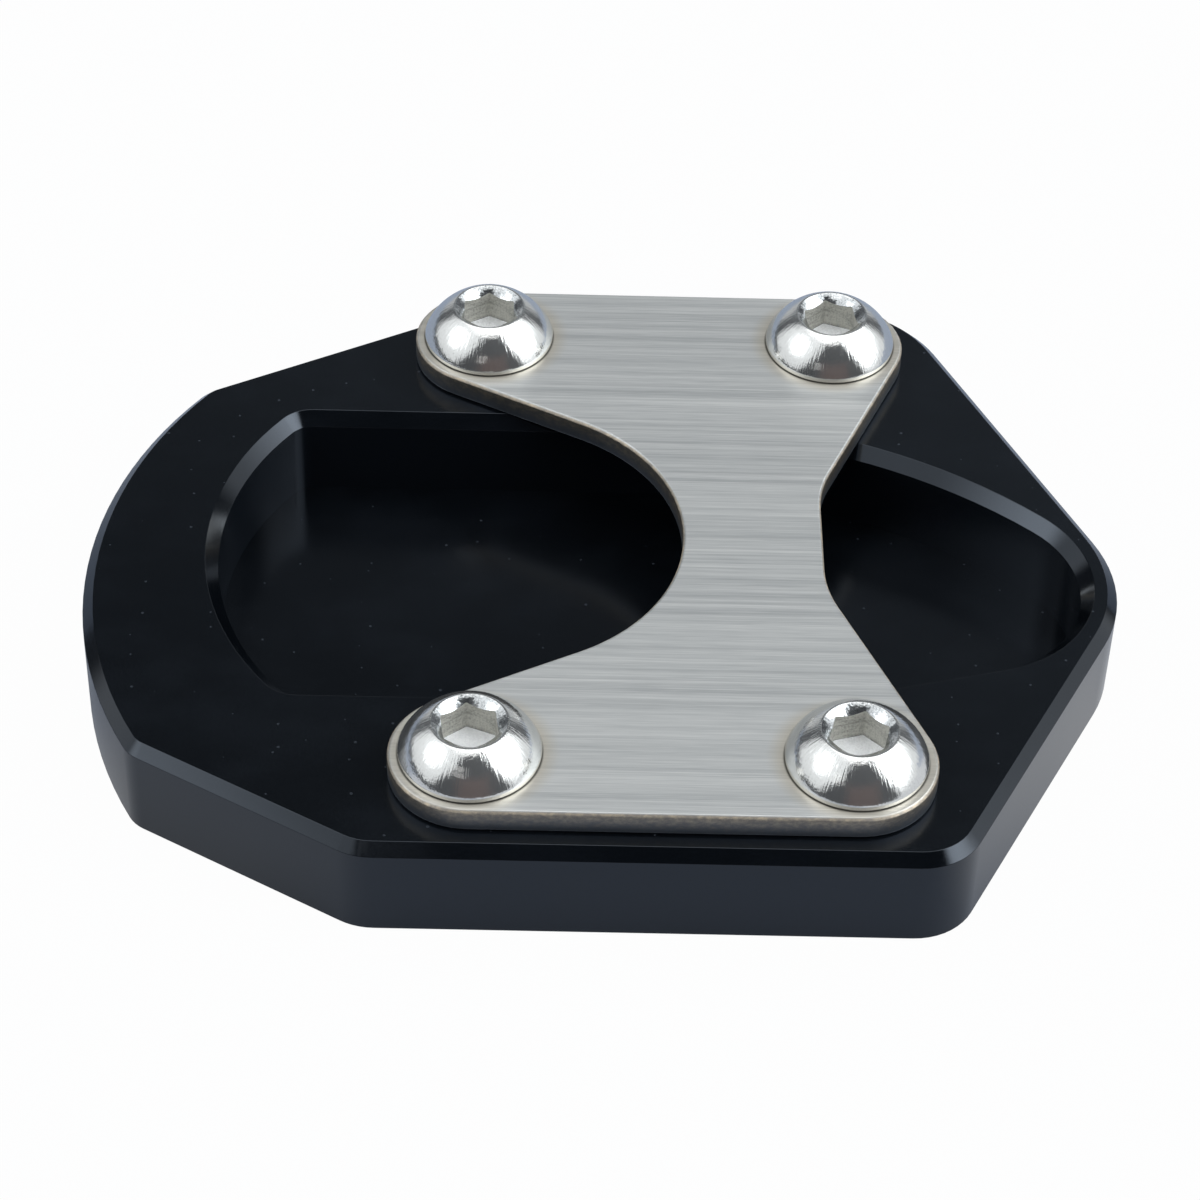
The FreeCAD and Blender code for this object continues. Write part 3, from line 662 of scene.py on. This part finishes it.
@dataclass
class MachinedPlate:
    """A plate that is copied from its solid, with its sharp outer edges softened."""

    name: str
    node: str
    slot: Slot
    softness: float                    # width of the softened edge
    segments: int = 2
    sharp_angle: float = 24.0          # degrees between two faces that make an edge
    flat_angle: float = 0.1            # degrees up to which two triangles lie in one face
    same_place: float = 1e-7           # metres within which two points are one

    def build(self) -> bpy.types.Object:
        """Copy the solid's mesh, join its loose triangles and soften its edges.

        Returns:
            The new piece.
        """
        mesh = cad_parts[self.node].data.copy()
        mesh.materials.clear()
        piece = bpy.data.objects.new(self.name, mesh)
        bpy.context.scene.collection.objects.link(piece)
        select_only(piece)
        bpy.ops.mesh.customdata_custom_splitnormals_clear()
        bpy.ops.object.mode_set(mode="EDIT")
        bpy.ops.mesh.select_all(action="SELECT")
        bpy.ops.mesh.remove_doubles(threshold=self.same_place)
        bpy.ops.mesh.dissolve_limited(angle_limit=math.radians(self.flat_angle))
        self.mark_edges(piece)
        bpy.ops.object.mode_set(mode="OBJECT")
        bevel = piece.modifiers.new("softened_edges", "BEVEL")
        bevel.width = self.softness * MM
        bevel.segments = self.segments
        bevel.limit_method = "WEIGHT"
        bevel.harden_normals = True
        bpy.ops.object.shade_smooth_by_angle(angle=math.radians(self.sharp_angle))
        bpy.ops.object.modifier_apply(modifier=bevel.name)
        return piece

    def mark_edges(self, piece: bpy.types.Object) -> None:
        """Mark each sharp edge that stands out for softening, and leave inner corners as they were cut.

        Args:
            piece: The plate, in edit mode.
        """
        bpy.ops.mesh.select_mode(type="EDGE")
        bpy.ops.mesh.select_all(action="DESELECT")
        shape = bmesh.from_edit_mesh(piece.data)
        for edge in shape.edges:
            edge.select_set(edge.is_convex and edge.calc_face_angle(0.0) > math.radians(self.sharp_angle))
        bmesh.update_edit_mesh(piece.data)
        bpy.ops.transform.edge_bevelweight(value=1.0)

    def lay_brushing(self, piece: bpy.types.Object) -> None:
        """Give the mesh a UV map that says which way its surface is brushed: along X.

        Args:
            piece: The plate.
        """
        mesh = piece.data
        uv = mesh.uv_layers.new(name=ACROSS_BRUSHING)
        for loop in mesh.loops:
            place = mesh.vertices[loop.vertex_index].co
            uv.data[loop.index].uv = (place.y, place.x)

    def dress(self, piece: bpy.types.Object, material: bpy.types.Material) -> None:
        """Give the piece its material, and let it stand for its solid."""
        piece.data.materials.append(material)
        finish_piece(piece, self.slot, self.node)


@dataclass
class ButtonScrews:
    """Four button-head screws, modelled once about their axis with the seat at height 0."""

    facets: int = 128
    shank_radius: float = 3.0
    shank_bevel: float = 0.6
    head_radius: float = 5.25
    lip: float = 0.45
    lip_softness: float = 0.13
    lip_turns: tuple[int, ...] = tuple(range(0, 91, 15))    # degrees round the lip's rounded foot
    head_height: float = 3.1
    flat_radius: float = 2.88
    dome_steps: int = 20
    mouth_radius: float = 2.76
    mouth_angle: float = 52.0          # degrees from the axis
    mouth_end: float = 0.8             # radius where the countersink's cone is closed
    socket_width: float = 4.0
    socket_depth: float = 2.85
    socket_sides: int = 6
    socket_corner: float = 0.13
    corner_segments: int = 3
    punch_spare: float = 1.0           # length of the punch above the head
    floor_margin: float = 0.05         # height up to which a face belongs to the socket's floor
    wall_tilt: float = 20.0            # degrees off upright that a face of the socket's walls may lie
    edge_softness: float = 0.04
    edge_segments: int = 2
    edge_angle: float = 24.0           # degrees between two faces that make an edge
    smooth_angle: float = 30.0         # degrees up to which two faces are shaded as one
    corners: list[Corner] = field(default_factory=lambda: list(Corner))

    @property
    def seat(self) -> float:
        """Height of the seat in metres: the top of the clamp plate."""
        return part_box("clamp_plate")[1].z

    @property
    def length(self) -> float:
        """Length of the shank below the seat."""
        return (self.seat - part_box(Corner.FRONT_LEFT.node)[0].z) / MM

    @property
    def hexagon_radius(self) -> float:
        """Distance from the axis to the socket's corners."""
        return self.socket_width / 2 / math.cos(math.radians(180 / self.socket_sides))

    def seat_of(self, corner: Corner) -> Vector:
        """Place of one screw's seat on its axis, in metres."""
        low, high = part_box(corner.node)
        return Vector(((low.x + high.x) / 2, (low.y + high.y) / 2, self.seat))

    def profile(self) -> list[tuple[float, float]]:
        """Radius and height of each ring, from the shank's end round the head into the socket's mouth.

        Returns:
            Pairs in millimetres.
        """
        rings = [(self.shank_radius - self.shank_bevel, -self.length),
                 (self.shank_radius, self.shank_bevel - self.length), (self.shank_radius, 0.0)]
        soft = self.lip_softness
        for turn in self.lip_turns:
            a = math.radians(turn)
            rings.append((self.head_radius - soft * (1 - math.sin(a)), soft * (1 - math.cos(a))))
        rings += self.dome()
        sink = (self.mouth_radius - self.mouth_end) / math.tan(math.radians(self.mouth_angle))
        rings += [(self.mouth_radius, self.head_height), (self.mouth_end, self.head_height - sink)]
        return rings

    def dome(self) -> list[tuple[float, float]]:
        """Rings of the dome, a zone of a ball about the axis, from the lip to the flat at its top.

        Returns:
            Pairs of radius and height in millimetres.
        """
        low, high = Vector((self.head_radius, self.lip)), Vector((self.flat_radius, self.head_height))
        middle = (high.length_squared - low.length_squared) / (2 * (high.y - low.y))
        radius = math.hypot(low.x, low.y - middle)
        first, last = (math.atan2(p.y - middle, p.x) for p in (low, high))
        angles = [first + (last - first) * i / self.dome_steps for i in range(self.dome_steps + 1)]
        return [(radius * math.cos(a), middle + radius * math.sin(a)) for a in angles]

    def turned_body(self) -> bpy.types.Object:
        """Extrude a disc ring by ring along the profile.

        Returns:
            The closed body, still without its socket.
        """
        rings = self.profile()
        radius, height = rings[0]
        bpy.ops.object.select_all(action="DESELECT")
        bpy.ops.mesh.primitive_circle_add(vertices=self.facets, radius=radius * MM, fill_type="NGON",
                                          location=(0, 0, height * MM))
        piece = bpy.context.active_object
        bpy.ops.object.transform_apply(location=True)
        bpy.ops.object.mode_set(mode="EDIT")
        bpy.ops.mesh.select_all(action="SELECT")
        for next_radius, next_height in rings[1:]:
            bpy.ops.mesh.extrude_region_move(
                TRANSFORM_OT_translate={"value": (0, 0, (next_height - height) * MM)})
            share = next_radius / radius
            bpy.ops.transform.resize(value=(share, share, 1), center_override=(0, 0, next_height * MM))
            radius, height = next_radius, next_height
        bpy.ops.mesh.select_all(action="SELECT")
        bpy.ops.mesh.normals_make_consistent(inside=False)
        bpy.ops.object.mode_set(mode="OBJECT")
        return piece

    def punch(self) -> bpy.types.Object:
        """Model the hexagon punch, with its corners softened, that leaves the socket.

        Returns:
            The punch, in place in the head.
        """
        top = self.head_height + self.punch_spare
        floor = self.head_height - self.socket_depth
        bpy.ops.object.select_all(action="DESELECT")
        bpy.ops.mesh.primitive_cylinder_add(vertices=self.socket_sides, radius=self.hexagon_radius * MM,
                                            depth=(top - floor) * MM, location=(0, 0, (top + floor) / 2 * MM))
        tool = bpy.context.active_object
        bpy.ops.object.transform_apply(location=True)
        bpy.ops.object.mode_set(mode="EDIT")
        bpy.ops.mesh.select_all(action="SELECT")
        bpy.ops.mesh.bevel(offset=self.socket_corner * MM, segments=self.corner_segments)
        bpy.ops.object.mode_set(mode="OBJECT")
        return tool

    def build(self) -> bpy.types.Object:
        """Model one screw about its axis.

        Returns:
            The screw, with its socket cut and its edges softened.
        """
        piece = self.turned_body()
        tool = self.punch()
        select_only(piece)
        cut = piece.modifiers.new("socket", "BOOLEAN")
        cut.operation = "DIFFERENCE"
        cut.solver = "EXACT"
        cut.object = tool
        bpy.ops.object.modifier_apply(modifier=cut.name)
        bpy.data.objects.remove(tool)
        bevel = piece.modifiers.new("softened_edges", "BEVEL")
        bevel.width = self.edge_softness * MM
        bevel.segments = self.edge_segments
        bevel.limit_method = "ANGLE"
        bevel.angle_limit = math.radians(self.edge_angle)
        bpy.ops.object.modifier_apply(modifier=bevel.name)
        bpy.ops.object.shade_smooth_by_angle(angle=math.radians(self.smooth_angle))
        return piece

    def dress(self, piece: bpy.types.Object, materials: dict[Finish, bpy.types.Material]) -> None:
        """Give the head and each part of the socket its material.

        Args:
            piece: The screw about its axis.
            materials: Materials of the head with its shank, of the cone round the socket, and of the socket's
                walls and floor.
        """
        for finish in Finish:
            piece.data.materials.append(materials[finish])
        low = (self.head_height - self.socket_depth + self.floor_margin) * MM
        inner = self.mouth_radius * MM
        steep = math.sin(math.radians(self.wall_tilt))
        for face in piece.data.polygons:
            centre = face.center
            if centre.z < 0 or centre.xy.length > inner:
                continue
            if centre.z < low:
                face.material_index = Finish.FLOOR
            elif abs(face.normal.z) < steep:
                face.material_index = Finish.WALLS
            else:
                face.material_index = Finish.MOUTH
        own = piece.data.attributes.new(OWN_PLACE, "FLOAT_VECTOR", "POINT")
        for vertex in piece.data.vertices:
            own.data[vertex.index].vector = vertex.co

    def place(self, model: bpy.types.Object) -> None:
        """Copy the screw to its four places, each turned as its socket shows, and remove the model.

        Args:
            model: The dressed screw about its axis.
        """
        for corner in self.corners:
            piece = model.copy()
            piece.data = model.data.copy()
            piece.name = corner.node.replace("screw", "button_screw")
            bpy.context.scene.collection.objects.link(piece)
            piece.location = self.seat_of(corner)
            piece.rotation_euler = Euler((0, 0, corner.turn))
            select_only(piece)
            bpy.ops.object.transform_apply(location=True, rotation=True, scale=True)
            finish_piece(piece, Slot.SCREWS, corner.node)
        bpy.data.objects.remove(model)


@dataclass(frozen=True)
class Softbox:
    """A rectangular studio lamp with a plain diffuser, turned towards the object."""

    name: str
    azimuth: float                     # degrees from the camera's side, to the right
    elevation: float
    distance: float                    # metres, as the next two
    width: float
    height: float
    radiance: float

    def build(self, target: Vector) -> None:
        """Add the lamp.

        Args:
            target: Point that it faces, in metres.
        """
        lamp = bpy.data.lights.new(self.name, "AREA")
        lamp.shape = "RECTANGLE"
        lamp.size, lamp.size_y = self.width, self.height
        lamp.energy = self.radiance * math.pi * self.width * self.height
        az, el = math.radians(self.azimuth), math.radians(self.elevation)
        away = Vector((math.sin(az) * math.cos(el), -math.cos(az) * math.cos(el), math.sin(el)))
        holder = bpy.data.objects.new(self.name, lamp)
        holder.location = target + away * self.distance
        holder.rotation_euler = away.to_track_quat("Z", "Y").to_euler()
        holder.visible_camera = False
        bpy.context.scene.collection.objects.link(holder)


@dataclass(frozen=True)
class LampBank:
    """Small lamps in rows, low to the camera's left, which the domes mirror as a glint."""

    rows: int = 2
    columns: int = 3
    azimuth: float = -27.0             # degrees, of the first lamp
    azimuth_step: float = 5.5
    elevation: float = 27.0
    elevation_step: float = 7.0
    distance: float = 0.129            # metres, as the next two
    width: float = 0.010
    height: float = 0.012
    radiance: float = 0.4

    def build(self, target: Vector) -> None:
        """Add the lamps.

        Args:
            target: Point that they face, in metres.
        """
        for row in range(self.rows):
            for column in range(self.columns):
                Softbox(f"lamp_bank_{row}_{column}", self.azimuth + self.azimuth_step * column,
                        self.elevation + self.elevation_step * row, self.distance, self.width, self.height,
                        self.radiance).build(target)


@dataclass(frozen=True)
class LightTent:
    """A light tent of white cloth, with a lamp behind each of the two panels that lean in from the sides.

    The camera's side is open and dim. Directions are bearings in degrees from the camera's side, to the
    right, and heights as the sine of the elevation.
    """

    panel: str = "f4f8fc"
    panel_low: float = 0.95            # radiance of the panels at the table
    panel_high: float = 1.15           # and higher up
    panel_rise: Range = (0.0, 0.6)     # heights between the two
    # Bearing, height, radiance and reach of the lamp's glow through each panel
    glow_left: tuple[float, float, float, float] = (-78.0, 0.62, 2.8, 0.36)
    glow_right: tuple[float, float, float, float] = (75.0, 0.63, 4.6, 0.7)
    glow_core: float = 0.05            # reach within which a glow is even
    panel_edge: float = 62.0           # bearing of the panels' front edges at the table
    panel_soft: float = 7.0            # degrees over which those edges fade, to either side
    left_lean: float = 45.0            # how far those edges come round on the way up
    right_lean: float = 18.0
    panel_end: float = 122.0
    end_soft: float = 5.0
    left_foot: Range = (0.06, 0.14)    # heights between which the left panel begins
    ceiling: str = "f8fafc"
    ceiling_light: float = 1.85
    ceiling_from: Range = (0.91, 0.84)      # height of its edge, on the open side and on the far one
    ceiling_turn: Range = (60.0, 110.0)     # bearings between the two
    ceiling_soft: float = 0.04
    far_wall: str = "bcbfc2"
    far_gloom: str = "7c8288"          # above the far wall
    gloom_from: Range = (0.12, 0.35)
    far_top: str = "1c2026"            # and below the ceiling
    top_from: Range = (0.58, 0.76)
    top_slope: float = -0.3            # the dark part's edge rises to the right
    corner: str = "3c4046"             # behind the panels' far ends, and below the left one's foot
    corner_from: Range = (136.0, 148.0)
    far_from: Range = (80.0, 100.0)    # bearings between the open side and the far one
    open_side: str = "262a30"
    open_middle: str = "4c3d3b"
    middle_bearing: float = 8.0
    middle_from: Range = (12.0, 34.0)  # bearings from that one
    middle_top: Range = (0.4, 0.65)
    seen_white: float = 1.0            # share of plain white that the camera sees round the tent
    mirrored_white: float = 0.02       # and that metal and glass mirror

    def build(self) -> None:
        """Light the world by direction, and then show plain white to the camera."""
        world = bpy.data.worlds.new("light_tent")
        bpy.context.scene.world = world
        world.use_nodes = True
        tree = world.node_tree
        direction = add_node(tree, "TexCoord").outputs["Generated"]
        x, y, up = add_node(tree, "SeparateXYZ", [direction]).outputs
        forward = add_node(tree, "Math", (y, -1.0), operation="MULTIPLY")
        angle = add_node(tree, "Math", (x, forward), operation="ARCTAN2")
        bearing = add_node(tree, "Math", [angle], operation="DEGREES")
        apart = add_node(tree, "Math", [bearing], operation="ABSOLUTE")

        is_far = add_node(tree, "MapRange", (apart, *self.far_from), **SMOOTH)
        light = add_node(tree, "Mix", (is_far, self.near_side(tree, bearing, up),
                                       self.far_side(tree, apart, x, up)), **COLOURS)
        in_panel = self.in_panel(tree, bearing, apart, up)
        light = add_node(tree, "Mix", (in_panel, light, self.panel_light(tree, direction, up)), **COLOURS)
        edge = add_node(tree, "MapRange", (apart, *self.ceiling_turn, *self.ceiling_from), **SMOOTH)
        above = add_node(tree, "Math", (up, edge), operation="SUBTRACT")
        overhead = add_node(tree, "MapRange", (above, -self.ceiling_soft, self.ceiling_soft), **SMOOTH)
        ceiling = [part * self.ceiling_light for part in linear(self.ceiling)[:3]] + [1.0]
        light = add_node(tree, "Mix", (overhead, light, ceiling), **COLOURS)

        path = add_node(tree, "LightPath").outputs
        seen = add_node(tree, "Math", (path["Is Camera Ray"], self.seen_white), operation="MULTIPLY")
        mirrored = add_node(tree, "Math", (path["Is Glossy Ray"], path["Is Transmission Ray"]),
                            operation="MAXIMUM")
        white = add_node(tree, "Math", (mirrored, self.mirrored_white, seen), operation="MULTIPLY_ADD")
        light = add_node(tree, "Mix", (white, light, WHITE), **COLOURS)
        connect(tree, tree.nodes["Background"], {"Color": light})

    def far_side(self, tree: Tree, apart: Feed, x: Feed, up: Feed) -> Node:
        """Light of the side that faces the camera.

        Args:
            tree: Node tree of the world.
            apart: Degrees from the camera's side, either way.
            x: The direction's part to the right.
            up: Its height.
        Returns:
            Node of the colour.
        """
        gloomy = add_node(tree, "MapRange", (up, *self.gloom_from), **SMOOTH)
        far = add_node(tree, "Mix", (gloomy, linear(self.far_wall), linear(self.far_gloom)), **COLOURS)
        sloped = add_node(tree, "Math", (x, self.top_slope, up), operation="MULTIPLY_ADD")
        to_top = add_node(tree, "MapRange", (sloped, *self.top_from), **SMOOTH)
        far = add_node(tree, "Mix", (to_top, far, linear(self.far_top)), **COLOURS)
        past_corner = add_node(tree, "MapRange", (apart, *self.corner_from), **SMOOTH)
        return add_node(tree, "Mix", (past_corner, linear(self.corner), far), **COLOURS)

    def near_side(self, tree: Tree, bearing: Feed, up: Feed) -> Node:
        """Light of the open side, whose middle is warmer and a little lighter.

        Args:
            tree: Node tree of the world.
            bearing: Degrees from the camera's side, to the right.
            up: The direction's height.
        Returns:
            Node of the colour.
        """
        turned = add_node(tree, "Math", (bearing, self.middle_bearing), operation="SUBTRACT")
        beside = add_node(tree, "Math", [turned], operation="ABSOLUTE")
        beside = add_node(tree, "MapRange", (beside, *self.middle_from), **SMOOTH)
        above = add_node(tree, "MapRange", (up, *self.middle_top), **SMOOTH)
        outside = add_node(tree, "Math", (beside, above), operation="MAXIMUM")
        return add_node(tree, "Mix", (outside, linear(self.open_middle), linear(self.open_side)), **COLOURS)

    def in_panel(self, tree: Tree, bearing: Feed, apart: Feed, up: Feed) -> Node:
        """Find the panels, with soft edges.

        Args:
            tree: Node tree of the world.
            bearing: Degrees from the camera's side, to the right.
            apart: The same, either way.
            up: The direction's height.
        Returns:
            Node of the share of a panel in each direction.
        """
        right = add_node(tree, "Math", (bearing, 0.0), operation="GREATER_THAN")
        lean = add_node(tree, "Math", (right, self.right_lean - self.left_lean, self.left_lean),
                        operation="MULTIPLY_ADD")
        leant = add_node(tree, "Math", (lean, up), operation="MULTIPLY")
        edge = add_node(tree, "Math", (self.panel_edge, leant), operation="SUBTRACT")
        past_edge = add_node(tree, "Math", (apart, edge), operation="SUBTRACT")
        inside = add_node(tree, "MapRange", (past_edge, -self.panel_soft, self.panel_soft), **SMOOTH)
        risen = add_node(tree, "MapRange", (up, *self.left_foot), **SMOOTH)
        foot = add_node(tree, "Math", (right, risen), operation="MAXIMUM")
        last, gone = self.panel_end - self.end_soft, self.panel_end + self.end_soft
        before_end = add_node(tree, "MapRange", (apart, last, gone, 1.0, 0.0), **SMOOTH)
        across = add_node(tree, "Math", (inside, before_end), operation="MULTIPLY")
        return add_node(tree, "Math", (across, foot), operation="MULTIPLY")

    def panel_light(self, tree: Tree, direction: Feed, up: Feed) -> Node:
        """Light of the panels, which grows with height and round the lamp that stands behind each.

        Args:
            tree: Node tree of the world.
            direction: The direction, of length 1.
            up: Its height.
        Returns:
            Node of the colour.
        """
        level = add_node(tree, "MapRange", (up, *self.panel_rise, self.panel_low, self.panel_high), **SMOOTH)
        for bearing, height, strength, reach in (self.glow_left, self.glow_right):
            turn, flat = math.radians(bearing), math.sqrt(1 - height ** 2)
            lamp = Vector((math.sin(turn) * flat, -math.cos(turn) * flat, height))
            away = add_node(tree, "VectorMath", (direction, lamp), operation="DISTANCE")
            glow = add_node(tree, "MapRange", (away, self.glow_core, reach, strength, 0.0), **SMOOTH)
            level = add_node(tree, "Math", (level, glow), operation="ADD")
        return add_node(tree, "VectorMath", (linear(self.panel)[:3], level), operation="SCALE")


@dataclass
class Studio:
    """The table that the object lies on, and the lights round it."""

    table_size: float = 4.0            # metres
    table_gap: float = 0.00002         # metres, so that the underside and the table don't share a plane

    def build(self) -> None:
        """Add the table, the bank of lamps and the tent."""
        bpy.ops.object.select_all(action="DESELECT")
        height = CAD_BOX[0][2] - self.table_gap
        bpy.ops.mesh.primitive_plane_add(size=self.table_size, location=(0, 0, height))
        table = bpy.context.active_object
        table.name = "table"
        bpy.ops.object.transform_apply(location=True)
        table.data.materials.append(StudioFloor().make(2 * self.table_gap))
        LampBank().build(Vector((0, 0, CAD_BOX[1][2])))
        LightTent().build()


@dataclass
class PhotoCamera:
    """The photograph's camera, looking down at the front of the part."""

    azimuth: float = -0.872            # degrees, as the next two
    elevation: float = 42.865
    roll: float = 1.788
    distance: float = 265.368          # from the target
    target_x: float = -4.685
    target_y: float = -7.636
    focal_pixels: float = 3506.478
    nearest: float = 0.01              # metres from the camera that it sees
    farthest: float = 20.0

    def build(self) -> None:
        """Add the camera and make it the scene's own."""
        az, el, roll = (math.radians(v) for v in (self.azimuth, self.elevation, self.roll))
        back = Vector((math.sin(az) * math.cos(el), -math.cos(az) * math.cos(el), math.sin(el)))
        target = Vector((self.target_x, self.target_y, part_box("clamp_plate")[1].z / MM)) * MM
        right = Vector((0, 0, 1)).cross(back).normalized()
        up = back.cross(right)
        turned_right = right * math.cos(roll) + up * math.sin(roll)
        turned_up = up * math.cos(roll) - right * math.sin(roll)
        camera = bpy.data.cameras.new("photo_camera")
        camera.sensor_width = SENSOR
        camera.lens = self.focal_pixels / PHOTO_PIXELS * SENSOR
        camera.clip_start = self.nearest
        camera.clip_end = self.farthest
        holder = bpy.data.objects.new("photo_camera", camera)
        turn = Matrix((turned_right, turned_up, back)).transposed().to_4x4()
        holder.matrix_world = Matrix.Translation(target + back * self.distance * MM) @ turn
        bpy.context.scene.collection.objects.link(holder)
        bpy.context.scene.camera = holder


def main() -> None:
    """Build every piece in order, then the studio and the camera."""
    logging.basicConfig(level=logging.INFO, format="%(name)s: %(message)s")
    plate_bottom, plate_top = (end.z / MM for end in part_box("clamp_plate"))
    screws = ButtonScrews()
    seats = [screws.seat_of(corner) / MM for corner in Corner]

    base = MachinedPlate("milled_base", "base_plate", Slot.BASE, softness=0.035)
    base.dress(base.build(), AnodisedAluminium().make())
    clamp = MachinedPlate("brushed_clamp_plate", "clamp_plate", Slot.PLATE, softness=0.07)
    sheet = clamp.build()
    clamp.lay_brushing(sheet)
    clamp.dress(sheet, BrushedSteel().make(plate_top, plate_top - plate_bottom, seats))

    model = screws.build()
    mouth = PunchedSteel("punched_socket_mouth", colour="d4d6d6", shade="8d9090", roughness=0.14, haze=0.08,
                         band=(1.4, 1.4, 1.0), relief=0.08)
    # The floor's frosting is drawn far deeper than a real one, which keeps it matt
    # Its near-white colour is painted light: the floor is painted lighter than the walls, as lit from above
    # through the socket
    floor = PunchedSteel("punched_socket_floor", colour="fdfefe", shade="f2f3f4", roughness=0.75, haze=0.85,
                         band=(1.2, 1.2, 1.2), relief=0.003, frost_relief=0.16)
    screws.dress(model, {Finish.OUTSIDE: PolishedSteel().make(), Finish.MOUTH: mouth.make(),
                         Finish.WALLS: PunchedSteel().make(), Finish.FLOOR: floor.make()})
    screws.place(model)

    Studio().build()
    PhotoCamera().build()
    bpy.context.scene.view_settings.view_transform = "Standard"


if __name__ == "__main__":
    main()
